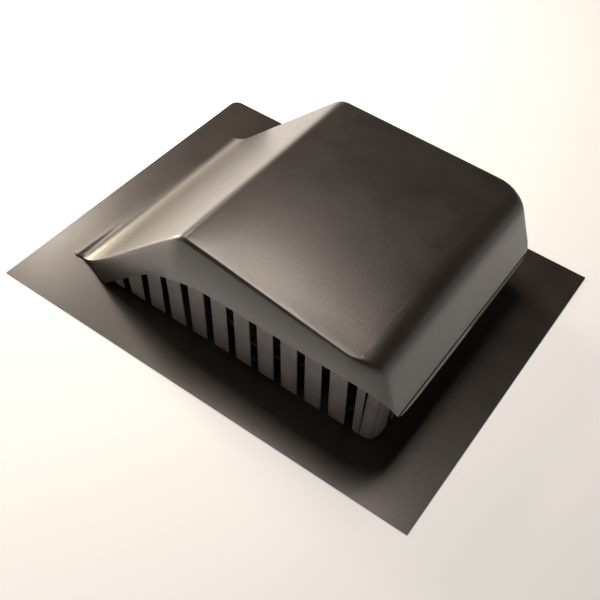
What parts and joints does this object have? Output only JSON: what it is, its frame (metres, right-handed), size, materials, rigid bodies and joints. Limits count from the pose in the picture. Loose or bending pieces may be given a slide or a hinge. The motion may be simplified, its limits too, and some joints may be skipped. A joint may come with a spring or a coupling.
{
  "type": "slant-back roof vent",
  "caption": "Low painted sheet-metal roof vent: flat flashing flange, slant-back hood over a round throat, slotted louvre walls on three sides.",
  "frame": {"origin": "centre of the flange's underside, in the plane that lies on the roof", "axes": "+X down the roof slope, along the flange's long side; +Z away from the roof"},
  "size_m": [0.445, 0.355, 0.1161],
  "materials": {
    "painted_sheet": "satin to gloss dark brown baked enamel",
    "louvre_paint": "satin grey-brown baked enamel",
    "bare_aluminium": "mill finish, slightly dull",
    "screen_wire": "woven wire, dull",
    "butyl_seal": "matt black tape"
  },
  "bodies": {
    "root": {"base_flange": "painted_sheet", "hood": "painted_sheet", "apron_seal": "butyl_seal", "louvre_left": "louvre_paint", "louvre_right": "louvre_paint", "louvre_front": "louvre_paint", "throat_collar": "bare_aluminium", "insect_screen": "screen_wire", "screen_ring": "bare_aluminium", "hood_leg_left": "bare_aluminium", "hood_leg_right": "bare_aluminium", "collar_rivet_1": "bare_aluminium", "collar_rivet_2": "bare_aluminium", "collar_rivet_3": "bare_aluminium", "collar_rivet_4": "bare_aluminium", "collar_rivet_5": "bare_aluminium", "collar_rivet_6": "bare_aluminium", "leg_rivet_1": "bare_aluminium", "leg_rivet_2": "bare_aluminium", "leg_rivet_3": "bare_aluminium", "leg_rivet_4": "bare_aluminium", "screen_rivet_1": "bare_aluminium", "screen_rivet_2": "bare_aluminium", "screen_rivet_3": "bare_aluminium", "screen_rivet_4": "bare_aluminium"}
  },
  "joints": []
}
